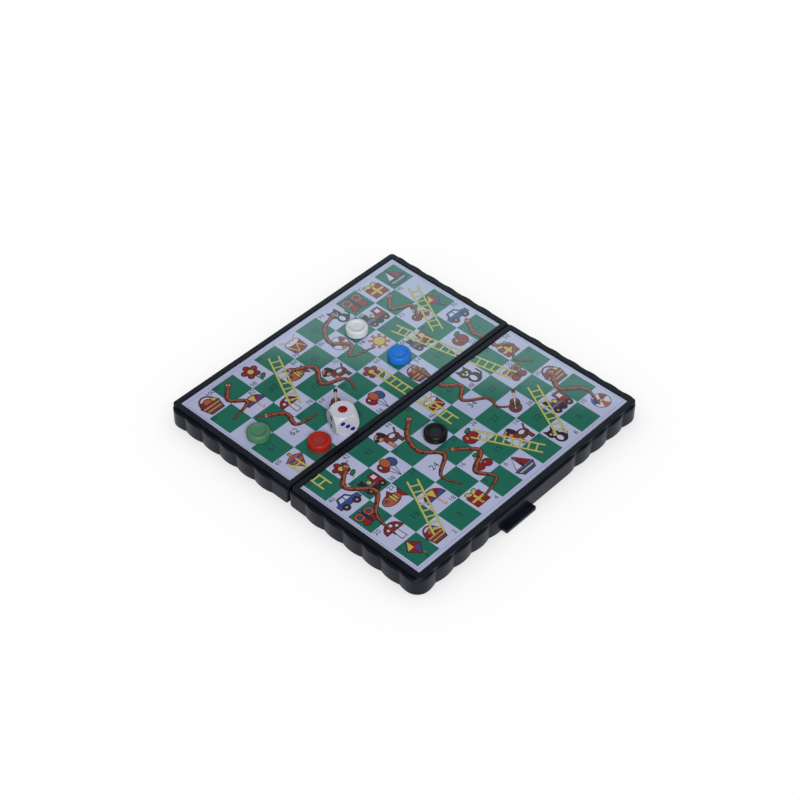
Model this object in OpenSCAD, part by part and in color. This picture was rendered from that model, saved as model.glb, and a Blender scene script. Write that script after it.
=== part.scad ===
// Folding magnetic snakes and ladders board. Two half trays of one moulding, joined under the
// fold by double-pin links, each with a steel plate and a printed sheet; magnetic discs and a die.
// Millimetres. X runs along the fold, -Y is the front (thumb tab of the near half), Z is up,
// the origin is on the table under the middle of the fold. The board is drawn open and flat.

/* [Playing face] */
// Pitch of the printed squares
square = 12; // [10:0.1:14]
// White margin of the sheet on its three outer sides
sheet_margin = 2.05; // [1.5:0.05:3]
// White margin of the sheet on the fold side
fold_margin = 0.55; // [0.1:0.05:1]
// Thickness of the printed sheet
sheet_t = 0.25; // [0.15:0.05:0.5]
// Thickness of the steel plate under the sheet
plate_t = 0.4; // [0.3:0.05:0.8]
// Gap between the plate or sheet and the rim round it
face_gap = 0.1; // [0.05:0.05:0.3]

/* [Half tray] */
// Height of the printed face above the table
face_h = 8.5; // [7.5:0.05:12]
// Width of the straight rim round the face
rim_w = 2.55; // [1.5:0.05:4]
// Rise of the rim above the printed face
rim_rise = 0.5; // [0.2:0.05:1]
// Rounding of the rim corners in plan
rim_r = 1.6; // [0.6:0.1:2.4]
// Drop from the printed face to the ledge outside the rim
ledge_drop = 0.6; // [0.1:0.05:1.5]
// Width of the ledge at the scallop cusps on the two sides
side_ledge = 1; // [0.6:0.05:2.5]
// Width of the ledge at the scallop cusps on the front
front_ledge = 0.15; // [0.1:0.05:1.5]
// Thickness of the outer wall at the cusps
wall_t = 2; // [1.4:0.1:2.6]
// Thickness of the roof under the steel plate
roof_t = 1.4; // [1:0.1:2]
// Corner chamfer of the hollow in plan
hollow_chamfer = 3; // [1:0.5:5]

/* [Scallops] */
// Pitch of the scallop lobes
lobe_pitch = 10; // [8:0.1:12]
// Rise of a lobe over its cusps
lobe_rise = 0.8; // [0.5:0.05:1.5]
// Rounding of the top edge of the wall
edge_r = 0.8; // [0.3:0.05:1]
// Radius of the corner lobes
corner_r = 5.6; // [4:0.1:7]
// Lobes on each side of the straight length of the front
front_lobes = 3; // [2:1:4]
// Lobes on each end wall
side_lobes = 5; // [3:1:5]
// Distance from a corner lobe to the next lobe on an end wall
side_first = 8.95; // [8:0.05:11]

/* [Thumb tab] */
// Width of the thumb tab
tab_w = 17.4; // [10:0.1:20]
// Reach of the thumb tab beyond the wall
tab_reach = 2.75; // [1.5:0.05:4]
// Thickness of the thumb tab
tab_t = 1.5; // [1:0.1:2.5]
// Distance of the tab's middle from the middle of the board
tab_off = 10.6; // [10.2:0.1:14]

/* [Fold hinge] */
// Half of the gap between the two halves at the fold
seam = 0.15; // [0.1:0.01:0.25]
// Height of the hinge pins above the table, also the rounding of the lower fold edges
pin_h = 2.2; // [1.9:0.05:2.5]
// Diameter of a hinge pin
pin_d = 1.2; // [0.8:0.1:1.4]
// Running clearance of a link on its pin, on the radius
pin_run = 0.04; // [0.02:0.01:0.08]
// Thickness of the wall along the fold
fold_wall = 1.8; // [1.4:0.1:2.2]
// Distance of the links from the middle of the board, in squares
link_at = 3.5; // [2.5:0.1:4]
// Width of a link
link_w = 8; // [5:0.5:12]
// Radius of the rounded ends of a link
link_r = 1.8; // [1.4:0.05:2]
// Height of the bar between the ends of a link
link_bar = 2.6; // [2:0.1:3]
// Gap between a link and the slot it turns in
slot_gap = 0.25; // [0.15:0.05:0.5]
// Length of the lug on each side of a slot
lug_l = 5; // [3:0.5:8]

/* [Discs and die] */
// Diameter of a disc
disc_d = 9.7; // [8:0.1:10.5]
// Height of a disc
disc_h = 3.5; // [3:0.1:4.5]
// Radius of the rounded shoulder round the top of a disc
ring_r = 1; // [0.6:0.05:1.2]
// Rounding of the lower edge of a disc
foot_r = 0.45; // [0.2:0.05:0.6]
// Depth of the dish in the top of a disc
dish = 0.6; // [0.4:0.05:1.2]
// Diameter of the flat middle of the dish
dish_d = 4.4; // [3:0.1:5]
// Diameter of the disc magnet
magnet_d = 5; // [4:0.1:6]
// Thickness of the disc magnet
magnet_t = 1.2; // [1:0.1:1.5]
// Gap between the magnet and the sheet
magnet_up = 0.05; // [0.02:0.01:0.2]
// Edge length of the die
die = 10; // [8:0.1:11]
// Radius of the ball that rounds the die
die_ball = 7; // [6.6:0.1:7.6]
// Turn of the die on the board
die_turn = -22; // [-45:1:45]
// Radius of the single large pip
one_r = 2; // [1.2:0.05:2.4]
// Radius of the other pips
pip_r = 1.05; // [0.7:0.05:1.2]
// Depth of the pips
pip_deep = 0.35; // [0.2:0.05:0.5]
// Distance of the outer pips from the middle of a face
pip_out = 2.1; // [1.8:0.05:2.4]

/* [Hidden] */
$fn = 64;
eps = 0.01;
// sheet of one half, measured in the near half
sheet_x = 5 * square + sheet_margin;
sheet_y0 = seam + rim_w;
sheet_y1 = sheet_y0 + 5 * square + fold_margin + sheet_margin;
rim_x = sheet_x + rim_w;
rim_y = sheet_y1 + rim_w;
rim_h = face_h + rim_rise;
ledge_h = face_h - ledge_drop;
plate_h = face_h - sheet_t - plate_t;
roof_h = plate_h - roof_t;
// scallops: crests, lobe radius and corner centres
cusp_x = rim_x + side_ledge;
cusp_y = rim_y + front_ledge;
crest_x = cusp_x + lobe_rise;
crest_y = cusp_y + lobe_rise;
lobe_r = (lobe_pitch * lobe_pitch / 4 + lobe_rise * lobe_rise) / (2 * lobe_rise);
lobe_a = asin(lobe_pitch / 2 / lobe_r);
first_a = asin(side_first / 2 / lobe_r);
corner_x = crest_x - corner_r;
corner_y = crest_y - corner_r;
straight_x = corner_x - (front_lobes + 1) * lobe_pitch;
hollow_x = cusp_x - wall_t;
hollow_y = cusp_y - wall_t;
// hinge: pins sit seam + pin_h from the fold, so the lower edges roll on each other
pin_y = seam + pin_h;
link_x = link_at * square;
lug_y = pin_y + pin_h;
lug_h = 2 * pin_h;
slot_w = link_w + 2 * slot_gap;
slot_r = link_r + slot_gap;
pin_l = slot_w + 2 * lug_l;
// discs: x, y of each on the face, and the die
white_at = [1.46 * square, 3.64 * square];
blue_at = [1.49 * square, 1.64 * square];
green_at = [-4.43 * square, 2.44 * square];
red_at = [-3.36 * square, 0.68 * square];
black_at = [-0.47 * square, -1.83 * square];
die_at = [-2.24 * square, 0.69 * square];

// Plan shapes and sections

// points of a rectangle with rounded corners, from x0, y0 to x1, y1
function round_rect(x0, y0, x1, y1, r, n = 6) = [
    for (c = [[x1 - r, y1 - r, 0], [x0 + r, y1 - r, 90], [x0 + r, y0 + r, 180], [x1 - r, y0 + r, 270]])
        for (k = [0:n]) [c[0] + r * cos(c[2] + 90 * k / n), c[1] + r * sin(c[2] + 90 * k / n)]
];

// points of a rectangle with cut corners
function cut_rect(x0, y0, x1, y1, c) = [
    [x0 + c, y0], [x1 - c, y0], [x1, y0 + c], [x1, y1 - c],
    [x1 - c, y1], [x0 + c, y1], [x0, y1 - c], [x0, y0 + c]
];

// points of an arc about c from angle a0 to a1, without its last point
function arc(c, r, a0, a1, n = 8) = [
    for (k = [0:n - 1]) let (a = a0 + (a1 - a0) * k / n) [c[0] + r * cos(a), c[1] + r * sin(a)]
];

// plan of the scalloped wall, from the middle of the front round the right corner to the fold
function wall_plan() = concat(
    arc([straight_x, lobe_r - crest_y], lobe_r, 270, 270 + lobe_a, 4),
    [for (k = [front_lobes:-1:1])
        each arc([corner_x - k * lobe_pitch, lobe_r - crest_y], lobe_r, 270 - lobe_a, 270 + lobe_a)],
    arc([corner_x, lobe_r - crest_y], lobe_r, 270 - lobe_a, 270, 4),
    arc([corner_x, -corner_y], corner_r, 270, 360),
    arc([crest_x - lobe_r, -corner_y], lobe_r, 0, first_a, 4),
    [for (k = [0:side_lobes - 1])
        each arc([crest_x - lobe_r, side_first + k * lobe_pitch - corner_y], lobe_r, k == 0 ? -first_a : -lobe_a, lobe_a)],
    [[cusp_x, side_first + (side_lobes - 0.5) * lobe_pitch - corner_y], [cusp_x, -seam]]
);

// whole plan of a half: the middle of the fold, then the wall from left to right
function half_plan() = let (p = wall_plan(), n = len(p))
    concat([[0, -seam]], [for (k = [n - 1:-1:0]) [-p[k][0], p[k][1]]], p);

// the plan moved inwards by d, square to each of its edges; the ends slide along the fold
function inset(p, d) = let (last = len(p) - 1) [
    for (k = [0:last]) k == 0 ? p[k] : k == 1 ? p[k] + [d, 0] : k == last ? p[k] - [d, 0] :
        let (u = (p[k] - p[k - 1]) / norm(p[k] - p[k - 1]), v = (p[k + 1] - p[k]) / norm(p[k + 1] - p[k]))
            p[k] + d * [-u[1] - v[1], u[0] + v[0]] / (1 + u * v)
];

// outline of the corner cutter that rounds the upright fold corners in plan
function fold_corner(r, n = 6) = concat(
    [[cusp_x + eps, -seam + eps], [cusp_x - r, -seam + eps]],
    [for (k = [0:n]) [cusp_x - r + r * sin(90 * k / n), -seam - r + r * cos(90 * k / n)]],
    [[cusp_x + eps, -seam - r]]
);

// section of the cutter that rounds the lower fold edge about the pin
function fold_edge(n = 10) = concat(
    [[0, -1], [0, pin_h], [-seam, pin_h]],
    [for (k = [1:n]) [-pin_y + pin_h * cos(90 * k / n), pin_h - pin_h * sin(90 * k / n)]],
    [[-pin_y, -1]]
);

// Half tray, drawn as the near half

// scalloped wall with a rounded top edge, a stack of rings that follow the plan
module skirt(steps = 3) {
    plan = half_plan();
    n = len(plan);
    rings = concat([[0, 0]], [for (k = [0:steps])
        [edge_r * (1 - cos(90 * k / steps)), ledge_h - edge_r * (1 - sin(90 * k / steps))]]);
    top = len(rings) - 1;
    polyhedron(
        [for (r = rings) each [for (p = inset(plan, r[0])) [p[0], p[1], r[1]]]],
        concat(
            [[for (k = [0:n - 1]) k], [for (k = [n:-1:1]) top * n + k % n]],
            [for (r = [0:top - 1]) each [for (k = [0:n - 1]) let (m = (k + 1) % n)
                [r * n + k, (r + 1) * n + k, (r + 1) * n + m, r * n + m]]]
        )
    );
}

module thumb_tab() {
    linear_extrude(tab_t)
        polygon(round_rect(-tab_off - tab_w / 2, -crest_y - tab_reach, -tab_off + tab_w / 2, -crest_y + wall_t, 0.6));
}

module hollow() {
    translate([0, 0, -1]) linear_extrude(roof_h + 1)
        polygon(cut_rect(-hollow_x, -hollow_y, hollow_x, -seam - fold_wall, hollow_chamfer));
}

module lugs() {
    for (s = [-1, 1]) translate([s * link_x - pin_l / 2, -lug_y, 0]) cube([pin_l, lug_y - seam, lug_h]);
}

module slots() {
    for (s = [-1, 1])
        translate([s * link_x - slot_w / 2, -pin_y - slot_r, -1]) cube([slot_w, pin_y + slot_r + 1, 1 + pin_h + slot_r]);
}

module pin_rod(s, d) {
    translate([s * link_x - pin_l / 2, -pin_y, pin_h]) rotate([0, 90, 0]) cylinder(d = d, h = pin_l, $fn = 48);
}

module half_tray() {
    difference() {
        union() {
            difference() {
                union() {
                    skirt();
                    translate([0, 0, roof_h / 2]) linear_extrude(rim_h - roof_h / 2)
                        polygon(round_rect(-rim_x, -rim_y, rim_x, -seam, rim_r));
                    thumb_tab();
                }
                hollow();
            }
            lugs();
        }
        // recess for plate and sheet
        translate([-sheet_x - face_gap, -sheet_y1 - face_gap, plate_h])
            cube([2 * (sheet_x + face_gap), sheet_y1 - sheet_y0 + 2 * face_gap, rim_h]);
        // fold edges
        translate([-crest_x - 1, 0, 0]) rotate([90, 0, 90]) linear_extrude(2 * crest_x + 2) polygon(fold_edge());
        for (m = [0, 1]) mirror([m, 0, 0])
            translate([0, 0, -1]) linear_extrude(ledge_h + 2) polygon(fold_corner(1.1));
        slots();
        for (s = [-1, 1]) pin_rod(s, pin_d);
    }
}

module half_plate() {
    translate([-sheet_x, -sheet_y1, plate_h]) cube([2 * sheet_x, sheet_y1 - sheet_y0, plate_t]);
}

module half_sheet() {
    translate([-sheet_x, -sheet_y1, face_h - sheet_t]) cube([2 * sheet_x, sheet_y1 - sheet_y0, sheet_t]);
}

// the far half is the same set of pieces turned half round
module far() {
    rotate([0, 0, 180]) children();
}

// Hinge link: two bored round ends and a bar

module link(s) {
    translate([s * link_x - link_w / 2, 0, 0]) rotate([90, 0, 90]) linear_extrude(link_w) difference() {
        union() {
            for (m = [-1, 1]) translate([m * pin_y, pin_h]) circle(link_r);
            translate([-pin_y, pin_h - link_bar / 2]) square([2 * pin_y, link_bar]);
        }
        for (m = [-1, 1]) translate([m * pin_y, pin_h]) circle(pin_d / 2 + pin_run, $fn = 48);
    }
}

// Discs and die

// half section of a disc: upright side, round shoulder, bowl that falls to a flat dish
function disc_section(n = 8) = let (r = disc_d / 2, crest = r - ring_r, slope = crest - dish_d / 2) concat(
    [[0, 0], [r - foot_r, 0]],
    [for (k = [1:3]) [r - foot_r + foot_r * sin(30 * k), foot_r - foot_r * cos(30 * k)]],
    [for (k = [0:n]) [crest + ring_r * cos(90 * k / n), disc_h - ring_r + ring_r * sin(90 * k / n)]],
    [for (k = [1:n]) [crest - slope * k / n, disc_h - dish * (1 - cos(180 * k / n)) / 2]],
    [[0, disc_h - dish]]
);

module disc_cap(at) {
    translate([at[0], at[1], face_h]) difference() {
        rotate_extrude() polygon(disc_section());
        translate([0, 0, -1]) cylinder(d = magnet_d, h = 1 + magnet_up + magnet_t);
    }
}

module disc_magnet(at) {
    translate([at[0], at[1], face_h + magnet_up]) cylinder(d = magnet_d, h = magnet_t);
}

// ball that sinks a pip of radius r into the top face at x, y
module pip(x, y, r) {
    ball = (r * r + pip_deep * pip_deep) / (2 * pip_deep);
    translate([x, y, die / 2 + ball - pip_deep]) sphere(ball, $fn = 32);
}

// pips of one face, in the plane of the top face
module pips(n) {
    if (n == 1) pip(0, 0, one_r);
    if (n == 3 || n == 5) pip(0, 0, pip_r);
    if (n == 2) for (s = [-1, 1]) pip(s * pip_out, 0, pip_r);
    if (n > 2) for (s = [-1, 1]) pip(s * pip_out, -s * pip_out, pip_r);
    if (n > 3) for (s = [-1, 1]) pip(s * pip_out, s * pip_out, pip_r);
    if (n == 6) for (s = [-1, 1]) pip(s * pip_out, 0, pip_r);
}

module die_body() {
    translate([die_at[0], die_at[1], face_h + die / 2]) rotate([0, 0, die_turn]) difference() {
        intersection() {
            cube(die, center = true);
            sphere(die_ball);
        }
        pips(1);
        rotate([180, 0, 0]) pips(6);
        rotate([90, 0, 0]) pips(3);
        rotate([-90, 0, 0]) pips(4);
        rotate([0, -90, 0]) pips(2);
        rotate([0, 90, 0]) pips(5);
    }
}

// Named sub-parts

module near_shell() { color([0.09, 0.09, 0.1]) half_tray(); }
module far_shell() { color([0.09, 0.09, 0.1]) far() half_tray(); }
module near_steel_plate() { color([0.6, 0.62, 0.64]) half_plate(); }
module far_steel_plate() { color([0.6, 0.62, 0.64]) far() half_plate(); }
module near_printed_sheet() { color([0.72, 0.72, 0.84]) half_sheet(); }
module far_printed_sheet() { color([0.72, 0.72, 0.84]) far() half_sheet(); }
module hinge_link_left() { color([0.12, 0.12, 0.13]) link(-1); }
module hinge_link_right() { color([0.12, 0.12, 0.13]) link(1); }
module near_pin_left() { color([0.7, 0.7, 0.72]) pin_rod(-1, pin_d); }
module near_pin_right() { color([0.7, 0.7, 0.72]) pin_rod(1, pin_d); }
module far_pin_left() { color([0.7, 0.7, 0.72]) far() pin_rod(1, pin_d); }
module far_pin_right() { color([0.7, 0.7, 0.72]) far() pin_rod(-1, pin_d); }
module white_disc_cap() { color([0.88, 0.88, 0.88]) disc_cap(white_at); }
module blue_disc_cap() { color([0.08, 0.42, 0.8]) disc_cap(blue_at); }
module green_disc_cap() { color([0.3, 0.56, 0.34]) disc_cap(green_at); }
module red_disc_cap() { color([0.7, 0.1, 0.08]) disc_cap(red_at); }
module black_disc_cap() { color([0.12, 0.12, 0.13]) disc_cap(black_at); }
module white_disc_magnet() { color([0.35, 0.35, 0.37]) disc_magnet(white_at); }
module blue_disc_magnet() { color([0.35, 0.35, 0.37]) disc_magnet(blue_at); }
module green_disc_magnet() { color([0.35, 0.35, 0.37]) disc_magnet(green_at); }
module red_disc_magnet() { color([0.35, 0.35, 0.37]) disc_magnet(red_at); }
module black_disc_magnet() { color([0.35, 0.35, 0.37]) disc_magnet(black_at); }
module dice() { color([0.85, 0.84, 0.87]) die_body(); }

near_shell();
far_shell();
near_steel_plate();
far_steel_plate();
near_printed_sheet();
far_printed_sheet();
hinge_link_left();
hinge_link_right();
near_pin_left();
near_pin_right();
far_pin_left();
far_pin_right();
white_disc_cap();
blue_disc_cap();
green_disc_cap();
red_disc_cap();
black_disc_cap();
white_disc_magnet();
blue_disc_magnet();
green_disc_magnet();
red_disc_magnet();
black_disc_magnet();
dice();
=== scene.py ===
"""Folding magnetic snakes and ladders board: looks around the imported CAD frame.

Blender works in metres, in the CAD frame: X along the fold, -Y the front, Z up. Sizes below are in
mm, scaled by MM where they are used. The print is of the builder's own design: its squares are in
the sheet material, and its figures are thin closed meshes on each sheet.
"""
import math

import bmesh
import bpy
from mathutils import Matrix, Vector


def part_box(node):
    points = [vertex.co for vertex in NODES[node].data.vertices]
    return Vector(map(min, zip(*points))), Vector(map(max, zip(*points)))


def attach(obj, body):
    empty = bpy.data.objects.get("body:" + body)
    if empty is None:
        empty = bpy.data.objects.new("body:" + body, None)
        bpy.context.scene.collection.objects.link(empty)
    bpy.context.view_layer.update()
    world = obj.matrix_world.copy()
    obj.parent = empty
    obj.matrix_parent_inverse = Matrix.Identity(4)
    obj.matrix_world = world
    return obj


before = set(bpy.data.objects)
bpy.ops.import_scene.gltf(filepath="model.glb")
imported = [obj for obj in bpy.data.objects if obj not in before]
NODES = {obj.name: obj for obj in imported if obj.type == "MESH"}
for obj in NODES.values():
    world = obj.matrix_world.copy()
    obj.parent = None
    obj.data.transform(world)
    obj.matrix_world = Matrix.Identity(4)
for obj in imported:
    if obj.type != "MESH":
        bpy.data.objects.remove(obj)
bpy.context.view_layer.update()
MM = 0.001
HALVES = ("near", "far")
SIDES = ("left", "right")
SQUARE = 12.0
GRID_X = 60.0
# first printed line of each half, measured from the fold
FOLD_Y = {"near": 2.65, "far": 2.62}
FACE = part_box("near_printed_sheet")[1].z / MM
SHEET_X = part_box("near_printed_sheet")[1].x / MM
SHEET_Y = (-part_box("near_printed_sheet")[1].y / MM, -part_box("near_printed_sheet")[0].y / MM)


# Materials

def linear(rgb):
    """sRGB 0 to 255 as linear RGBA."""
    out = []
    for c in rgb:
        c /= 255
        out.append(c / 12.92 if c <= 0.04045 else ((c + 0.055) / 1.055) ** 2.4)
    return (*out, 1.0)


def darker(rgba, share):
    """A linear colour brought down to a share of its light."""
    return tuple(share * c for c in rgba[:3]) + (1,)


class Nodes:
    """A node material with short calls for its nodes and links."""

    def __init__(self, name):
        self.mat = bpy.data.materials.new(name)
        self.mat.use_nodes = True
        self.tree = self.mat.node_tree
        self.tree.nodes.clear()
        self.out = self.add("OutputMaterial")
        self.shader = self.add("BsdfPrincipled")
        self.tree.links.new(self.shader.outputs[0], self.out.inputs[0])
        self.coord = self.add("TexCoord").outputs["Object"]

    def add(self, kind):
        return self.tree.nodes.new("ShaderNode" + kind)

    def put(self, socket, value):
        """Link a socket to another, or give it a value."""
        if isinstance(value, bpy.types.NodeSocket):
            self.tree.links.new(value, socket)
        else:
            socket.default_value = value

    def set(self, **values):
        """Inputs of the shader by name, as in base_color or specular_ior_level."""
        for name, value in values.items():
            title = name.replace("_", " ").title().replace("Ior", "IOR")
            self.put(self.shader.inputs[title], value)

    def math(self, op, a, b=0.0, c=0.0):
        n = self.add("Math")
        n.operation = op
        for socket, value in zip(n.inputs, (a, b, c)):
            self.put(socket, value)
        return n.outputs[0]

    def mix(self, factor, a, b):
        n = self.add("Mix")
        n.data_type = "RGBA"
        self.put(n.inputs["Factor"], factor)
        self.put(n.inputs["A"], a)
        self.put(n.inputs["B"], b)
        return n.outputs["Result"]

    def blend_shaders(self, factor, a, b):
        n = self.add("MixShader")
        for socket, value in zip(n.inputs, (factor, a, b)):
            self.put(socket, value)
        return n.outputs[0]

    def noise(self, scale, detail=3.0, stretch=None):
        """Noise of so many waves per metre, drawn out along the axes where stretch is given."""
        n = self.add("TexNoise")
        n.inputs["Scale"].default_value = scale
        n.inputs["Detail"].default_value = detail
        vector = self.coord
        if stretch:
            m = self.add("Mapping")
            m.inputs["Scale"].default_value = stretch
            self.put(m.inputs["Vector"], vector)
            vector = m.outputs[0]
        self.put(n.inputs["Vector"], vector)
        return n.outputs["Fac"]

    def span(self, value, low, high, to_low=0.0, to_high=1.0):
        n = self.add("MapRange")
        for socket, v in zip(n.inputs, (value, low, high, to_low, to_high)):
            self.put(socket, v)
        return n.outputs[0]

    def vary(self, noise, low=0.0, high=1.0):
        """The usual values of a noise, spread from low to high."""
        return self.span(noise, 0.3, 0.7, low, high)

    def axes(self):
        n = self.add("SeparateXYZ")
        self.put(n.inputs[0], self.coord)
        return n.outputs

    def occlusion(self, distance):
        """How open a point is, from 0 to 1, to what lies within a distance in metres."""
        n = self.add("AmbientOcclusion")
        n.inputs["Distance"].default_value = distance
        return n.outputs["AO"]

    def bump(self, height, depth, strength=1.0, normal=None):
        """Bump of a depth in mm, over another normal where one is given."""
        n = self.add("Bump")
        n.inputs["Strength"].default_value = strength
        n.inputs["Distance"].default_value = depth * MM
        self.put(n.inputs["Height"], height)
        if normal is not None:
            self.put(n.inputs["Normal"], normal)
        return n.outputs[0]

    def bevel(self, radius):
        """Normal with the edges rounded by a radius in mm."""
        n = self.add("Bevel")
        n.samples = 6
        n.inputs["Radius"].default_value = radius * MM
        return n.outputs[0]

    def edges(self, bevel, low, high):
        """Mask of edges: how far the bevelled normal leans from the true one."""
        dot = self.add("VectorMath")
        dot.operation = "DOT_PRODUCT"
        self.put(dot.inputs[0], self.add("NewGeometry").outputs["Normal"])
        self.put(dot.inputs[1], bevel)
        return self.span(dot.outputs["Value"], high, low)

    def creases(self, depth):
        """Painted shade in inner corners and along the fold seam: 1 unshaded, down to 1 - depth."""
        corner = self.span(self.occlusion(1.0 * MM), 0.45, 0.9, 1 - depth, 1.0)
        from_fold = self.math("ABSOLUTE", self.axes()[1])
        seam = self.span(from_fold, 0.3 * MM, 0.8 * MM, 1 - depth, 1.0)
        return self.math("MULTIPLY", corner, seam)


# waves per metre of the noises in the materials
CLOUD, RUB, WEAR, GRAIN = 120, 60, 900, 5200
ROLLED, SINTER, BRUSH = 400, 6000, 2600
DOTS, TINT, FILM_HAZE, FILM_WAVE = 3800, 35, 90, 700


def moulded(name, rgb, rough=0.38, grain=0.010, edge=0.35, light=None, radius=0.35, subsurface=0.0,
            gloss=0.5, crease_shade=0.0):
    """Moulded plastic: fine grain, cloudy gloss, faint rub marks and paler worn edges.

    grain is a depth and radius that of the rounded edges, both in mm. light is the colour of worn
    edges, edge how much of it shows, and crease_shade how dark the painted shade in inner corners
    and along the fold seam is.
    """
    m = Nodes(name)
    base = linear(rgb)
    pale = linear(light) if light else tuple(min(1, c * 1.5 + 0.02) for c in base[:3]) + (1,)
    cloud = m.noise(CLOUD, 4)
    rounded = m.bevel(radius)
    worn = m.math("MULTIPLY", m.edges(rounded, 0.80, 0.99), m.span(m.noise(WEAR, 2), 0.35, 0.7))
    tone = m.mix(m.vary(cloud, 0.0, 0.22), base, pale)
    colour = m.mix(m.math("MULTIPLY", worn, edge), tone, pale)
    # painted shade: colour and gloss brought down in inner corners and along the fold seam
    if crease_shade:
        clear = m.creases(crease_shade)
        colour = m.mix(clear, (0, 0, 0, 1), colour)
        gloss = m.math("MULTIPLY", clear, gloss)
    rub = m.math("MULTIPLY", m.span(m.noise(RUB, 6, (1, 24, 6)), 0.66, 0.72), 0.08)
    m.set(base_color=colour, specular_ior_level=gloss,
          roughness=m.math("ADD", m.vary(cloud, rough - 0.05, rough + 0.06), rub),
          normal=m.bump(m.noise(GRAIN, 2), grain, 0.5, rounded))
    if subsurface:
        m.set(subsurface_weight=subsurface, subsurface_scale=1.2 * MM)
    return m.mat


def steel(name, rgb, rough, stretch):
    """Drawn or rolled steel with lines along one axis."""
    m = Nodes(name)
    lines = m.noise(ROLLED, 5, stretch)
    bright = linear(rgb)
    m.set(base_color=m.mix(m.vary(lines), darker(bright, 0.7), bright), metallic=1.0,
          roughness=m.vary(lines, rough, rough + 0.15), normal=m.bump(lines, 0.004, 0.4))
    return m.mat


def ferrite(name):
    """Dark sintered magnet with a speckled grain."""
    m = Nodes(name)
    grain = m.noise(SINTER, 3)
    speckle = m.mix(m.span(grain, 0.35, 0.65), linear((52, 52, 56)), linear((86, 86, 92)))
    m.set(base_color=speckle, roughness=m.vary(grain, 0.5, 0.7), normal=m.bump(grain, 0.02, 0.6))
    return m.mat


def film(m):
    """Gloss of the clear film over the print."""
    m.set(roughness=m.vary(m.noise(FILM_HAZE, 3), 0.06, 0.09), specular_ior_level=0.5,
          normal=m.bump(m.noise(FILM_WAVE, 2), 0.004, 0.35))


PAPER, PAPER_DOTS = (184, 187, 218), (158, 160, 196)
GREEN, GREEN_TINT, GREEN_DOTS = (17, 101, 83), (28, 107, 88), (16, 84, 66)
FRAME_LINE = (92, 92, 104)
FRAME_OUT, FRAME_HALF_W = 0.98, 0.10


def printed(half):
    """Sheet with its printed squares, a thin frame line and the dots of the print."""
    m = Nodes(half + "_print")
    fold = FOLD_Y[half]
    x, y, _ = m.axes()
    out_x, out_y = m.math("ABSOLUTE", x), m.math("ABSOLUTE", y)
    column = m.math("DIVIDE", m.math("ADD", x, GRID_X * MM), SQUARE * MM)
    row = m.math("DIVIDE", m.math("SUBTRACT", out_y, fold * MM), SQUARE * MM)
    # rows are counted outwards from the fold: next to it, the far half is odd and the near one even
    count = m.math("ADD", m.math("FLOOR", column), m.math("FLOOR", row))
    pale = m.math("FLOORED_MODULO", m.math("ADD", count, 1.0 if half == "far" else 0.0), 2.0)
    outside = m.math("MAXIMUM", m.math("SUBTRACT", out_x, GRID_X * MM),
                     m.math("SUBTRACT", out_y, (fold + 5 * SQUARE) * MM))
    inside = m.math("MULTIPLY", m.math("LESS_THAN", outside, 0.0), m.math("GREATER_THAN", row, 0.0))
    square = m.math("MULTIPLY", inside, m.math("SUBTRACT", 1.0, pale))
    line = m.math("COMPARE", outside, FRAME_OUT * MM, FRAME_HALF_W * MM)
    dots, tint = m.noise(DOTS, 2), m.vary(m.noise(TINT, 3))
    paper = m.mix(tint, linear(PAPER), linear(tuple(c - 7 for c in PAPER)))
    paper = m.mix(m.span(dots, 0.45, 0.75, 0.0, 0.25), paper, linear(PAPER_DOTS))
    paper = m.mix(m.math("MULTIPLY", line, 0.55), paper, linear(FRAME_LINE))
    green = m.mix(tint, linear(GREEN), linear(GREEN_TINT))
    green = m.mix(m.span(dots, 0.45, 0.75, 0.0, 0.5), green, linear(GREEN_DOTS))
    m.set(base_color=m.mix(square, paper, green))
    film(m)
    return m.mat


def ink(name, rgb):
    """One printed colour, with the dots of the print."""
    m = Nodes("ink_" + name)
    base = linear(rgb)
    m.set(base_color=m.mix(m.span(m.noise(DOTS, 2), 0.42, 0.75, 0.0, 0.6), base, darker(base, 0.72)))
    film(m)
    return m.mat


INKS = {
    "line": (40, 26, 30), "number": (66, 68, 80), "faint": (15, 66, 54), "red": (136, 28, 32),
    "orange": (172, 86, 54), "tan": (194, 136, 102), "brown": (104, 56, 42), "dark": (40, 30, 34),
    "blue": (44, 74, 136), "navy": (34, 34, 70), "yellow": (194, 172, 88), "white": (196, 196, 214),
    "leaf": (44, 104, 64), "ladder": (190, 186, 102), "rail": (138, 132, 74), "snake": (140, 66, 46),
    "shade": (96, 44, 34), "scale": (58, 30, 28), "belly": (166, 90, 62),
}
INK_MAT = {n: ink(n, c) for n, c in INKS.items()}
INK_INDEX = {n: k for k, n in enumerate(INKS)}
DISCS = {
    "white": (208, 211, 217), "blue": (28, 114, 208), "green": (72, 120, 90), "red": (156, 30, 22),
    "black": (15, 15, 18),
}


def paint(node, mat):
    NODES[node].data.materials.clear()
    NODES[node].data.materials.append(mat)


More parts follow.
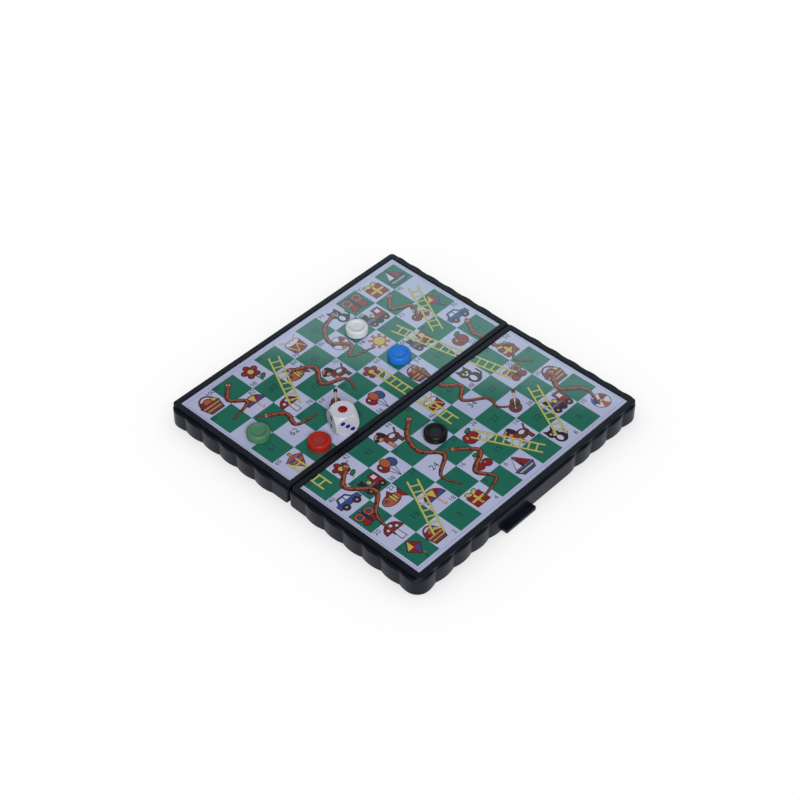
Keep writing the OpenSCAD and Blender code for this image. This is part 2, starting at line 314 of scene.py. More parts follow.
def paint_frame():
    """A material on every CAD node."""
    # the tray gets painted shade in its inner corners and along the fold seam
    tray = moulded("tray_black", (15, 17, 26), rough=0.32, edge=0.5, light=(38, 41, 54), radius=0.55,
                   gloss=0.14, crease_shade=0.65)
    link = moulded("link_black", (26, 27, 30), rough=0.5, edge=0.3)
    plate = steel("tinned_plate", (190, 190, 194), 0.3, (1, 40, 1))
    pin = steel("pin_wire", (200, 200, 204), 0.25, (40, 1, 1))
    magnet = ferrite("ferrite")
    for half in HALVES:
        paint(half + "_shell", tray)
        paint(half + "_steel_plate", plate)
        paint(half + "_printed_sheet", printed(half))
        for side in SIDES:
            paint(half + "_pin_" + side, pin)
    for side in SIDES:
        paint("hinge_link_" + side, link)
    for name, rgb in DISCS.items():
        cap = moulded(name + "_disc", rgb, rough=0.36, grain=0.006, edge=0.25, radius=0.2, gloss=0.2,
                      subsurface=0.0 if name == "black" else 0.12)
        paint(name + "_disc_cap", cap)
        paint(name + "_disc_magnet", magnet)
    paint("dice", moulded("die_white", (193, 193, 202), rough=0.3, grain=0.003, edge=0.1, radius=0.25,
                          subsurface=0.15, gloss=0.35))


paint_frame()


# Print: thin closed prisms, sunk a little into the sheet, each colour a step above those under it

SINK, RISE, STEP = 0.03, 0.02, 0.004
LADDER_LEVEL, SNAKE_LEVEL = 14, 17


class Layer:
    """One printed piece on one half: prisms of several inks in one mesh."""

    def __init__(self, name, half):
        self.name, self.half, self.bm = name, half, bmesh.new()

    def heights(self, k):
        """Underside and top of a prism at level k, in metres."""
        return (FACE - SINK) * MM, (FACE + RISE + STEP * k) * MM

    def colour(self, faces, colour):
        for f in faces:
            f.material_index = INK_INDEX[colour]

    def prism(self, points, k, colour):
        """Closed prism over a polygon in mm, its top at level k."""
        low, high = self.heights(k)
        a = [self.bm.verts.new((x * MM, y * MM, low)) for x, y in points]
        b = [self.bm.verts.new((x * MM, y * MM, high)) for x, y in points]
        n = len(points)
        faces = [self.bm.faces.new(b), self.bm.faces.new(a[::-1])]
        faces += [self.bm.faces.new((a[i], a[(i + 1) % n], b[(i + 1) % n], b[i])) for i in range(n)]
        self.colour(faces, colour)

    def ribbon(self, left, right, k, colour):
        """Closed band between two lines of equally many points, in mm."""
        low, high = self.heights(k)
        rows = [[self.bm.verts.new((p[0] * MM, p[1] * MM, z))
                 for p, z in ((l, low), (l, high), (r, high), (r, low))] for l, r in zip(left, right)]
        faces = [self.bm.faces.new(rows[0]), self.bm.faces.new(rows[-1][::-1])]
        for p, q in zip(rows, rows[1:]):
            faces += [self.bm.faces.new((p[i], q[i], q[(i + 1) % 4], p[(i + 1) % 4])) for i in range(4)]
        self.colour(faces, colour)

    def done(self):
        """Make the piece, with only the inks that it uses."""
        bmesh.ops.recalc_face_normals(self.bm, faces=self.bm.faces)
        mesh = bpy.data.meshes.new(self.name)
        self.bm.to_mesh(mesh)
        self.bm.free()
        used = sorted({p.material_index for p in mesh.polygons})
        names = list(INKS)
        for k in used:
            mesh.materials.append(INK_MAT[names[k]])
        for p in mesh.polygons:
            p.material_index = used.index(p.material_index)
        piece = bpy.data.objects.new(self.name, mesh)
        bpy.context.scene.collection.objects.link(piece)
        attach(piece, self.half)


def clip(points, half):
    """A convex polygon cut to the sheet of one half, or None."""
    s = 1 if half == "far" else -1
    for nx, ny, d in ((1, 0, SHEET_X), (-1, 0, SHEET_X), (0, s, SHEET_Y[1]), (0, -s, -SHEET_Y[0])):
        out = []
        for p, q in zip(points, points[1:] + points[:1]):
            a, b = d - nx * p[0] - ny * p[1], d - nx * q[0] - ny * q[1]
            if a >= 0:
                out.append(p)
            if a * b < 0:
                t = a / (a - b)
                out.append((p[0] + t * (q[0] - p[0]), p[1] + t * (q[1] - p[1])))
        points = out
        if len(points) < 3:
            return None
    return points


def centre(n):
    """Middle of square n in mm: 1 is front left, rows run to and fro."""
    j, k = divmod(n - 1, 10)
    i = k if j % 2 == 0 else 9 - k
    y = SQUARE * (j - 4.5) - FOLD_Y["near"] if j < 5 else SQUARE * (j - 4.5) + FOLD_Y["far"]
    return (SQUARE * (i - 4.5), y)


def across(d):
    """The direction d turned left by a right angle."""
    return Vector((-d.y, d.x))


def bar(p, q, w, grow=0.0):
    """Four corners of a bar of width w from p to q, longer by grow at both ends."""
    d = (Vector(q) - Vector(p)).normalized()
    n = across(d) * w / 2
    a, b = Vector(p) - d * grow, Vector(q) + d * grow
    return [tuple(a - n), tuple(b - n), tuple(b + n), tuple(a + n)]


def smooth(points, n=10):
    """Points of a smooth curve through the given points."""
    pts = [Vector(p) for p in points]
    pts = [2 * pts[0] - pts[1]] + pts + [2 * pts[-1] - pts[-2]]
    out = []
    for p0, p1, p2, p3 in zip(pts, pts[1:], pts[2:], pts[3:]):
        for k in range(n):
            t = k / n
            out.append(0.5 * (2 * p1 + (p2 - p0) * t + (2 * p0 - 5 * p1 + 4 * p2 - p3) * t * t
                              + (3 * p1 - 3 * p2 + p3 - p0) * t ** 3))
    out.append(pts[-2])
    return out


def ellipse(cx, cy, rx, ry, turn=0.0, n=20):
    c, s = math.cos(math.radians(turn)), math.sin(math.radians(turn))
    out = []
    for k in range(n):
        x, y = rx * math.cos(2 * math.pi * k / n), ry * math.sin(2 * math.pi * k / n)
        out.append((cx + c * x - s * y, cy + s * x + c * y))
    return out


# Ladders from square to square, and snakes through points in mm from head to tail

LADDERS = [(2, 23), (7, 26), (8, 29), (32, 73), (35, 66), (69, 90), (78, 97), (41, 60)]
SNAKES = [
    [(18, 11), (18, 5), (18, 2.7), (18, 0), (18, -2.7), (18, -5), (23, -10), (17, -16), (25, -23),
     (24, -29), (30, -34.5)],
    [(54, 14), (50.5, 8), (51, 4.5), (51, 2.7), (51, 0), (51, -2.7), (51, -4.5), (56, -9.5),
     (50, -15.5), (54.5, -22)],
    [(-6, -8), (-13.5, -14), (-16, -23), (-10.5, -31), (-20, -38), (-17.5, -47)],
    [(-42, -8), (-50, -15), (-43, -25), (-52, -34), (-54, -46)],
    [(-6, -32), (0.5, -40), (-9, -46), (-6, -54), (-19, -58)],
    [(54, -32), (49, -40), (56, -48), (53, -58)],
    [(43, 49), (38, 43), (45.5, 38), (41, 30.5)],
    [(-42, 59), (-47.5, 53), (-43, 46.5), (-54, 43)],
    [(18, 58), (9.5, 55), (5, 47), (10, 40), (5, 35), (16, 31.5)],
    [(-18, 47), (-10, 41), (-15, 32), (-6, 27), (-8, 19.5)],
    [(-43, 35), (-37, 30), (-38.5, 23), (-28.5, 21)],
]
RAIL_OUT, RAIL_W, RAIL_END = 2.1, 0.62, 1.2
RUNG_W, RUNG_PITCH, RUNG_DROP = 0.55, 3.4, 0.4
LADDER_EDGE, SNAKE_EDGE = 0.26, 0.28
# half widths of a snake, and how fast its neck swells and its tail thins along its length
TAIL_W, BODY_W, NECK, SWELL = 0.18, 0.66, 0.72, 0.28
NECK_RATE, TAIL_RATE = 6, 2.2
# shares of its half width between which each band lies
BELLY, SHADE, MARK = (0.7, 0.2), (-0.45, -0.97), (0.25, -0.9)
MARK_FIRST, MARK_STEP = 5, 4
HEAD_EDGE, HEAD = (1.95, 1.4), (1.68, 1.13)
EYE_R, PUPIL_R = 0.36, 0.18
# places along the head from its middle, or out from its axis
MOUTH, EYE_AT, EYE_OUT, PUPIL_AT = 1.5, 0.5, 0.56, 0.1
TONGUE, TONGUE_W = 1.6, 0.3
FORK_FROM, FORK_TO, FORK_OUT, FORK_W = 1.5, 2.3, 0.45, 0.24


def ladder(layer, a, b):
    """Two rails and rungs from square a to square b, cut at the edges of the sheet."""
    p, q = Vector(centre(a)), Vector(centre(b))
    d = (q - p).normalized()
    n = across(d) * RAIL_OUT
    length = (q - p).length
    count = max(2, round(length / RUNG_PITCH))
    rungs = [p + d * length * (k + 0.5) / count for k in range(count)]
    for colour, extra, level in (("rail", LADDER_EDGE, LADDER_LEVEL), ("ladder", 0.0, LADDER_LEVEL + 1)):
        bars = [bar(p + s * n, q + s * n, RAIL_W + extra, RAIL_END + extra / 2) for s in (-1, 1)]
        bars += [bar(r - n, r + n, RUNG_W + extra) for r in rungs]
        for i, points in enumerate(bars):
            points = clip(points, layer.half)
            if points:
                layer.prism(points, level - (RUNG_DROP if i > 1 else 0), colour)


def girth(t):
    """Half width of a snake at a share t of its length: slim neck, full body, thin tail."""
    neck = NECK + SWELL * min(1.0, t * NECK_RATE)
    return TAIL_W + BODY_W * min(1.0, (1 - t) * TAIL_RATE) * neck


def snake(layer, points):
    """Tapered body with an outline, a pale and a dark side, and saddle marks, cut at the fold."""
    path = smooth(points)
    total = len(path) - 1
    far = layer.half == "far"
    keep = [k for k, p in enumerate(path)
            if (p.y >= SHEET_Y[0] - 1e-6 if far else p.y <= -SHEET_Y[0] + 1e-6)]
    if not keep:
        return
    half_w = [girth(k / total) for k in range(total + 1)]
    side = [across((path[min(k + 1, total)] - path[max(k - 1, 0)]).normalized()) for k in range(total + 1)]

    def band(left, right, level, colour, part=keep, edge=0.0):
        """Ribbon from one share of the half width to another."""
        layer.ribbon([tuple(path[i] + side[i] * (half_w[i] * left + edge)) for i in part],
                     [tuple(path[i] + side[i] * (half_w[i] * right - edge)) for i in part],
                     SNAKE_LEVEL + level, colour)

    band(1, -1, 0, "line", edge=SNAKE_EDGE)
    band(1, -1, 1, "snake")
    band(*BELLY, 2, "belly")
    band(*SHADE, 2, "shade")
    for start in range(MARK_FIRST, total - MARK_STEP, MARK_STEP):
        part = [i for i in (start, start + 1) if i in keep]
        if len(part) == 2:
            band(*MARK, 3, "scale", part)
    if 0 in keep:
        snake_head(layer, path[0], (path[0] - path[2]).normalized())


def snake_head(layer, head, d):
    """Head that looks along d, with eyes and a forked tongue."""
    turn = math.degrees(math.atan2(d.y, d.x))
    tip = head + d * MOUTH
    layer.prism(bar(tip, tip + d * TONGUE, TONGUE_W), SNAKE_LEVEL, "red")
    fork = across(d) * FORK_OUT
    for s in (-1, 1):
        tine = bar(tip + d * FORK_FROM, tip + d * FORK_TO + s * fork, FORK_W)
        layer.prism(tine, SNAKE_LEVEL + 1, "red")
    layer.prism(ellipse(*head, *HEAD_EDGE, turn), SNAKE_LEVEL + 4, "line")
    layer.prism(ellipse(*head, *HEAD, turn), SNAKE_LEVEL + 5, "snake")
    for s in (-1, 1):
        eye = head + d * EYE_AT + s * across(d) * EYE_OUT
        layer.prism(ellipse(*eye, EYE_R, EYE_R, n=12), SNAKE_LEVEL + 6, "white")
        layer.prism(ellipse(*(eye + d * PUPIL_AT), PUPIL_R, PUPIL_R, n=8), SNAKE_LEVEL + 7, "line")


# Small pictures of common things, drawn in a unit square from -1 to 1; filled parts get an outline

# width of the outline, and the least bend, so that it isn't drawn out at sharp corners
OUTLINE, LEAST_BEND = 0.34, 0.35


def area(points, colour):
    return ("fill", points, colour)


def panel(points, colour):
    return ("bare", points, colour)


def dot(x, y, rx, ry=None, colour="red", turn=0.0):
    return area(ellipse(x, y, rx, ry or rx, turn), colour)


def stroke(p, q, w, colour="line"):
    return panel(bar(p, q, w), colour)


def polar(a, rx, ry=None):
    return (rx * math.cos(math.radians(a)), (ry or rx) * math.sin(math.radians(a)))


def wedge(r, a0, a1, colour, n=6):
    return panel([(0, 0)] + [polar(a0 + (a1 - a0) * k / n, r) for k in range(n + 1)], colour)


def dome(rx, ry):
    return [polar(a, rx, ry) for a in range(0, 181, 15)]


def block(x0, y0, x1, y1):
    return [(x0, y0), (x1, y0), (x1, y1), (x0, y1)]


PICTURES = {
    "kite": [
        area([(0, 1), (0.6, 0.25), (0, -0.45), (-0.6, 0.25)], "red"),
        panel([(0, 0.95), (0, 0.27), (-0.55, 0.27)], "yellow"),
        panel([(0, 0.23), (0.55, 0.23), (0, -0.4)], "blue"),
        stroke((0, -0.45), (0.18, -0.8), 0.07), stroke((0.18, -0.8), (-0.05, -1), 0.07),
        panel([(0.02, -0.55), (0.3, -0.68), (0.26, -0.48)], "orange"),
    ],
    "apple": [
        dot(-0.25, -0.1, 0.5, 0.6, "red", 12), dot(0.25, -0.1, 0.5, 0.6, "red", -12),
        dot(-0.3, 0.12, 0.12, 0.2, "tan", -20), stroke((0, 0.4), (0.1, 0.85), 0.1),
        dot(0.38, 0.72, 0.32, 0.15, "leaf", 20),
    ],
    "boat": [
        area([(-0.85, -0.3), (0.85, -0.3), (0.55, -0.8), (-0.55, -0.8)], "blue"),
        stroke((0, -0.3), (0, 0.95), 0.09), area([(0.1, 0.9), (0.1, -0.15), (0.75, -0.15)], "red"),
        area([(-0.1, 0.8), (-0.65, -0.15), (-0.1, -0.15)], "white"),
        panel([(-0.7, -0.45), (0.7, -0.45), (0.63, -0.57), (-0.63, -0.57)], "yellow"),
    ],
    "butterfly": [
        dot(-0.45, 0.35, 0.5, 0.4, "orange", -35), dot(0.45, 0.35, 0.5, 0.4, "orange", 35),
        dot(-0.38, -0.38, 0.38, 0.32, "red", 30), dot(0.38, -0.38, 0.38, 0.32, "red", -30),
        dot(-0.5, 0.4, 0.17, colour="blue"), dot(0.5, 0.4, 0.17, colour="blue"),
        dot(0, 0, 0.11, 0.62, "navy"),
        stroke((0, 0.55), (0.22, 0.95), 0.06), stroke((0, 0.55), (-0.22, 0.95), 0.06),
    ],
    "mushroom": [
        area([(-0.22, -0.9), (0.22, -0.9), (0.17, 0.1), (-0.17, 0.1)], "white"),
        area([(x, 0.05 + y) for x, y in dome(0.85, 0.8)], "red"),
        dot(-0.4, 0.35, 0.14, colour="white"), dot(0.05, 0.58, 0.15, colour="white"),
        dot(0.42, 0.28, 0.13, colour="white"),
    ],
    "drum": [
        area([(-0.65, 0.35), (0.65, 0.35), (0.6, -0.6), (-0.6, -0.6)], "red"),
        dot(0, -0.6, 0.6, 0.2, "red"), dot(0, 0.35, 0.65, 0.24, "white"),
        stroke((-0.6, 0.2), (-0.2, -0.72), 0.09, "yellow"),
        stroke((-0.2, -0.72), (0.2, 0.1), 0.09, "yellow"),
        stroke((0.2, 0.1), (0.58, -0.6), 0.09, "yellow"),
        stroke((-0.8, 0.95), (-0.1, 0.4), 0.1, "tan"), stroke((0.8, 0.95), (0.1, 0.4), 0.1, "tan"),
    ],
    "ball": [
        dot(0, 0, 0.8, colour="white"), wedge(0.78, 0, 60, "red"), wedge(0.78, 120, 180, "blue"),
        wedge(0.78, 240, 300, "orange"), dot(0, 0, 0.15, colour="yellow"),
    ],
    "balloons": [
        stroke((-0.4, 0.0), (0, -1), 0.05), stroke((0.42, 0.1), (0, -1), 0.05),
        stroke((0, 0.3), (0, -1), 0.05), dot(-0.42, 0.3, 0.36, 0.44, "red"),
        dot(0.44, 0.36, 0.34, 0.42, "blue"), dot(0.02, 0.55, 0.34, 0.42, "orange"),
        dot(-0.52, 0.46, 0.08, 0.12, "white"),
    ],
    "flower": [
        stroke((0, 0), (0.1, -1), 0.1, "leaf"), dot(0.36, -0.62, 0.3, 0.13, "leaf", 30),
        *[dot(x, 0.3 + y, 0.26, 0.22, "red", a)
          for a in range(18, 378, 72) for x, y in [polar(a, 0.44)]],
        dot(0, 0.3, 0.24, colour="yellow"),
    ],
    "car": [
        area([(-0.95, -0.4), (0.95, -0.4), (0.95, 0.0), (0.5, 0.08), (0.25, 0.5), (-0.5, 0.5),
              (-0.7, 0.08), (-0.95, 0.0)], "blue"),
        panel([(0.0, 0.4), (0.2, 0.4), (0.38, 0.08), (0.0, 0.08)], "white"),
        panel([(-0.1, 0.4), (-0.42, 0.4), (-0.56, 0.08), (-0.1, 0.08)], "white"),
        *[dot(x, -0.45, r, colour=c) for r, c in ((0.26, "navy"), (0.1, "tan")) for x in (-0.5, 0.5)],
    ],
    "umbrella": [
        stroke((0, 0.0), (0, -0.9), 0.1, "tan"), stroke((0, -0.9), (0.25, -0.75), 0.1, "tan"),
        area(dome(0.9, 0.85), "red"), wedge(0.8, 65, 115, "yellow"), wedge(0.84, 0, 30, "blue"),
        wedge(0.84, 150, 180, "blue"),
    ],
    "fish": [
        area([(0.5, 0), (0.98, 0.5), (0.98, -0.5)], "red"), dot(-0.1, 0, 0.78, 0.46, "orange"),
        area([(-0.2, 0.4), (0.3, 0.36), (0.2, 0.75)], "red"), dot(0.05, 0, 0.1, 0.4, "yellow"),
        dot(0.3, 0, 0.08, 0.33, "yellow"), dot(-0.52, 0.12, 0.13, colour="white"),
        dot(-0.52, 0.12, 0.05, colour="navy"),
    ],
    "gift": [
        area(block(-0.7, -0.8, 0.7, 0.4), "red"), panel(block(-0.12, -0.76, 0.12, 0.36), "yellow"),
        panel(block(-0.66, -0.3, 0.66, -0.08), "yellow"), dot(-0.28, 0.58, 0.3, 0.17, "yellow", 150),
        dot(0.28, 0.58, 0.3, 0.17, "yellow", 30),
    ],
    "cherries": [
        stroke((-0.35, -0.2), (0.15, 0.85), 0.08, "leaf"),
        stroke((0.42, -0.3), (0.15, 0.85), 0.08, "leaf"), dot(0.5, 0.75, 0.36, 0.16, "leaf", -15),
        dot(-0.38, -0.4, 0.42, colour="red"), dot(0.44, -0.5, 0.42, colour="red"),
        dot(-0.5, -0.26, 0.1, colour="tan"), dot(0.32, -0.36, 0.1, colour="tan"),
    ],
    "sun": [
        *[wedge(1.0, a - 11, a + 11, "orange", 2) for a in range(0, 360, 45)],
        dot(0, 0, 0.55, colour="yellow"),
    ],
    "top": [
        area([(-0.8, 0.3), (-0.3, 0.55), (0.3, 0.55), (0.8, 0.3), (0.3, -0.5), (0, -0.95),
              (-0.3, -0.5)], "orange"),
        panel([(-0.74, 0.28), (0.74, 0.28), (0.58, 0.02), (-0.58, 0.02)], "blue"),
        panel([(-0.42, -0.22), (0.42, -0.22), (0.3, -0.45), (-0.3, -0.45)], "red"),
        area(block(-0.09, 0.55, 0.09, 0.95), "tan"),
    ],
    "guitar": [
        dot(-0.36, -0.42, 0.54, 0.46, "brown", 45), dot(0.0, -0.06, 0.42, 0.34, "brown", 45),
        stroke((0.1, 0.05), (0.78, 0.78), 0.2, "tan"), stroke((0.68, 0.68), (0.98, 0.98), 0.3, "dark"),
        dot(-0.16, -0.22, 0.18, colour="dark"), stroke((-0.62, -0.48), (-0.42, -0.68), 0.1, "dark"),
        stroke((-0.5, -0.56), (0.74, 0.74), 0.06, "white"),
    ],
    "dog": [
        stroke((0.55, -0.1), (0.92, 0.45), 0.16, "brown"), dot(0.08, -0.22, 0.62, 0.38, "brown"),
        *[area(block(x - 0.12, -0.95, x + 0.12, -0.35), c) for x, c in ((-0.38, "tan"), (0.5, "brown"))],
        dot(0.2, -0.1, 0.26, 0.18, "white"), dot(-0.52, 0.38, 0.42, 0.36, "tan"),
        dot(-0.26, 0.44, 0.18, 0.4, "dark", 15), stroke((-0.56, 0.0), (-0.14, 0.06), 0.18, "red"),
        dot(-0.62, 0.46, 0.08, colour="dark"), dot(-0.9, 0.3, 0.12, 0.1, "dark"),
    ],
    "basket": [
        *[stroke(polar(a, 0.7, 0.9), polar(a + 30, 0.7, 0.9), 0.16, "brown") for a in range(0, 180, 30)],
        dot(-0.4, 0.12, 0.32, colour="red"), dot(0.42, 0.1, 0.3, colour="yellow"),
        dot(0.02, 0.2, 0.34, colour="orange"),
        area([(-0.82, 0.0), (0.82, 0.0), (0.58, -0.9), (-0.58, -0.9)], "brown"),
        stroke((-0.74, -0.22), (0.74, -0.22), 0.12, "tan"),
        stroke((-0.64, -0.58), (0.64, -0.58), 0.12, "tan"),
    ],
    "cat": [
        stroke((0.5, -0.7), (0.9, -0.35), 0.16, "dark"), stroke((0.86, -0.4), (0.86, 0.2), 0.16, "dark"),
        dot(0.12, -0.42, 0.5, 0.5, "dark"), area([(-0.55, 0.3), (-0.5, 0.9), (-0.15, 0.6)], "dark"),
        area([(0.35, 0.3), (0.3, 0.9), (-0.05, 0.6)], "dark"), dot(-0.1, 0.32, 0.48, 0.4, "dark"),
        dot(-0.28, 0.38, 0.1, 0.13, "yellow"), dot(0.08, 0.38, 0.1, 0.13, "yellow"),
        dot(-0.1, 0.16, 0.14, 0.1, "white"), dot(0.0, -0.4, 0.24, 0.34, "white"),
    ],
    "train": [
        area(block(-0.95, -0.45, 0.35, 0.15), "blue"), area(block(0.25, -0.45, 0.92, 0.7), "red"),
        area([(-0.8, 0.15), (-0.5, 0.15), (-0.42, 0.65), (-0.88, 0.65)], "dark"),
        dot(-0.1, 0.18, 0.18, 0.2, "yellow"), panel(block(0.4, 0.15, 0.78, 0.55), "white"),
        stroke((-0.95, -0.15), (0.3, -0.15), 0.1, "orange"),
        *[dot(x, -0.6, 0.26, colour="dark") for x in (-0.65, -0.05, 0.6)],
        *[dot(x, -0.6, 0.1, colour="tan") for x in (-0.65, 0.6)],
    ],
}
# square, picture, shift from its middle in X and Y, half size
PLACES = [
    (1, "kite", 0, 0, 5.5), (2, "basket", -2.0, 0.8, 4.8), (4, "gift", -1.0, 1.2, 4.8),
    (6, "boat", 0, 0, 5.6), (8, "cat", -2.2, 0.2, 4.8), (10, "ball", 1.2, -0.4, 4.8),
    (12, "train", 0.6, 0, 5.5), (14, "dog", 0.4, 0, 5.6), (16, "cherries", 1.8, 0.8, 4.6),
    (18, "umbrella", 0.4, 0.2, 5.4), (20, "mushroom", 1.4, 0.2, 5.0), (21, "butterfly", -0.8, 0.6, 4.8),
    (22, "fish", 0.4, 0, 5.5), (26, "apple", -2.4, 0.2, 4.6), (28, "guitar", 0.6, 0.6, 5.4),
    (30, "basket", 0, 0, 5.4), (32, "butterfly", 1.8, -0.8, 4.8), (38, "balloons", 0, 0, 5.6),
    (39, "train", 0.8, -0.4, 5.0), (40, "car", 0, 0.3, 5.6), (42, "flower", -1.8, 0, 5.0),
    (44, "dog", -0.3, 0, 5.6), (46, "drum", 1.8, 0, 5.0), (48, "cat", 0, 0.2, 5.4),
    (50, "gift", -1.4, -0.6, 4.8), (52, "apple", 1.4, 0.2, 4.6), (54, "basket", -1.8, -0.4, 4.8),
    (56, "balloons", 0, 0, 5.5), (60, "top", 1.8, 0.2, 5.0), (64, "guitar", -0.5, 0.2, 5.4),
    (66, "flower", -2.0, 0.2, 5.0), (68, "train", 1.4, 0, 5.2), (70, "car", 0.2, 0, 5.6),
    (71, "kite", 0.4, -0.2, 5.3), (72, "cherries", 1.2, 0.6, 4.8), (74, "sun", 1.8, 0.2, 4.6),
    (76, "dog", 0.3, 0.3, 5.5), (78, "mushroom", -1.8, 0.2, 5.0), (82, "umbrella", 1.6, -0.8, 4.8),
    (84, "fish", -0.2, -1.2, 5.2), (86, "ball", 1.6, -0.8, 4.8), (88, "train", -0.4, 0, 5.4),
    (91, "boat", 0, 0, 5.6), (92, "gift", 0.4, 0, 5.4), (93, "butterfly", 0, 0, 5.6),
    (94, "cat", 1.4, -0.6, 5.0), (96, "drum", 0, 0, 5.5), (98, "flower", 0, 0, 5.6),
    (100, "basket", -0.2, 0, 5.5),
]


def grown(points, d):
    """A polygon moved outwards by d."""
    turn = sum(p[0] * q[1] - q[0] * p[1] for p, q in zip(points, points[1:] + points[:1]))
    pts = [Vector(p) for p in (points if turn > 0 else points[::-1])]
    out = []
    for k, p in enumerate(pts):
        u, v = (p - pts[k - 1]).normalized(), (pts[(k + 1) % len(pts)] - p).normalized()
        bend = max(LEAST_BEND, 1 + u.dot(v))
        out.append(tuple(p + d * Vector((u.y + v.y, -u.x - v.x)) / bend))
    return out


def picture(layer, n, name, dx, dy, size):
    """A picture in square n, each part half a level above its outline."""
    cx, cy = centre(n)
    for k, (kind, points, colour) in enumerate(PICTURES[name]):
        points = [(cx + dx + size * x, cy + dy + size * y) for x, y in points]
        if kind == "fill":
            layer.prism(grown(points, OUTLINE), k, "line")
        layer.prism(points, k + 0.5, colour)


# Numbers: large in the middle of a plain square, or small in a corner

LARGE, SMALL = 4.1, 3.0
CORNER_X, CORNER_Y = 4.1, 4.5
# room that a number keeps from the middle of what is printed
LADDER_ROOM, SNAKE_ROOM, PICTURE_ROOM, NUMBER_ROOM = 2.6, 1.4, 0.3, 2.6
LARGE_ROOM, ENOUGH_ROOM = 1.3, 2.0
# points along a ladder, between two points of a snake and along an edge of a picture
LADDER_STEPS, SNAKE_STEPS, EDGE_STEPS = 30, 4, 4
PICTURED = {p[0]: p for p in PLACES}


def track_points():
    """Points along the ladders and snakes, with the room to keep from each."""
    for a, b in LADDERS:
        p, q = Vector(centre(a)), Vector(centre(b))
        for k in range(LADDER_STEPS + 1):
            yield p.lerp(q, k / LADDER_STEPS), LADDER_ROOM
    for points in SNAKES:
        for p in smooth(points, SNAKE_STEPS):
            yield p, SNAKE_ROOM


def drawn_points(n):
    """Points along the outlines of the picture in square n."""
    if n not in PICTURED:
        return []
    _, name, dx, dy, size = PICTURED[n]
    at = Vector(centre(n)) + Vector((dx, dy))
    return [at + size * Vector(p).lerp(Vector(q), k / EDGE_STEPS) for _, points, _ in PICTURES[name]
            for p, q in zip(points, points[1:] + points[:1]) for k in range(EDGE_STEPS)]


def number_places():
    """Place and size of each number: the middle of a plain square, or the clearest corner of another."""
    tracks = list(track_points())
    corners = [Vector((x, y)) for y in (CORNER_Y, -CORNER_Y) for x in (-CORNER_X, CORNER_X)]
    placed = {}
    for n in range(1, 101):
        c = Vector(centre(n))
        drawn = drawn_points(n)
        kept_clear = (tracks + [(p, PICTURE_ROOM) for p in drawn]
                      + [(p, NUMBER_ROOM) for p, _ in placed.values()])
        room = [min((c + spot - p).length - r for p, r in kept_clear) for spot in corners]
        if not drawn and min((c - p).length - r for p, r in kept_clear) > LARGE_ROOM:
            placed[n] = c, LARGE
        else:
            best = max(range(4), key=lambda k: (min(room[k], ENOUGH_ROOM), -k))
            placed[n] = c + corners[best], SMALL
    return placed


def numbers(half, places):
    layer = Layer(half + "_numbers", half)
    for n, (at, size) in places.items():
        if (at.y > 0) != (half == "far"):
            continue
        text = bpy.data.curves.new("number", "FONT")
        text.body = str(n)
        text.size = size * MM
        text.align_x, text.align_y = "CENTER", "CENTER"
        text.resolution_u = 3
        text.extrude = (SINK + RISE) / 2 * MM
        holder = bpy.data.objects.new("number", text)
        bpy.context.scene.collection.objects.link(holder)
        bpy.context.view_layer.update()
        mesh = bpy.data.meshes.new_from_object(holder.evaluated_get(bpy.context.evaluated_depsgraph_get()))
        mesh.transform(Matrix.Translation((at.x * MM, at.y * MM, (FACE + (RISE - SINK) / 2) * MM)))
        i, j = round(at.x / SQUARE + 4.5), (n - 1) // 10
        for p in mesh.polygons:
            p.material_index = INK_INDEX["number" if (i + j) % 2 else "faint"]
        layer.bm.from_mesh(mesh)
        bpy.data.objects.remove(holder)
        bpy.data.curves.remove(text)
        bpy.data.meshes.remove(mesh)
    bmesh.ops.remove_doubles(layer.bm, verts=layer.bm.verts, dist=1e-7)
    layer.done()


def print_halves():
    """Numbers, pictures, ladders and snakes of both halves."""
    places = number_places()
    for half in HALVES:
        numbers(half, places)
        layer = Layer(half + "_pictures", half)
        for place in PLACES:
            if (centre(place[0])[1] > 0) == (half == "far"):
                picture(layer, *place)
        layer.done()
        layer = Layer(half + "_ladders", half)
        for a, b in LADDERS:
            ladder(layer, a, b)
        layer.done()
        layer = Layer(half + "_snakes", half)
        for points in SNAKES:
            snake(layer, points)
        layer.done()


print_halves()


# Die: paint in the sunk pips, whose sizes are those of the CAD part

DIE_LOW, DIE_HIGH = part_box("dice")
DIE_MID = (DIE_LOW + DIE_HIGH) / 2
DIE, DIE_TURN = 10.0, -22
PIP_DEEP, PIP_OUT = 0.35, 2.1
ONE_R, PIP_R = 2.0, 1.05
# the paint's underside and top against the floor of the pip, and its share of the pip's radius
PAINT_LOW, PAINT_HIGH, PAINT_R = -0.015, 0.03, 0.985
RINGS, TURNS = 5, 24
RED_PAINT, BLUE_PAINT = (158, 6, 12), (38, 38, 150)


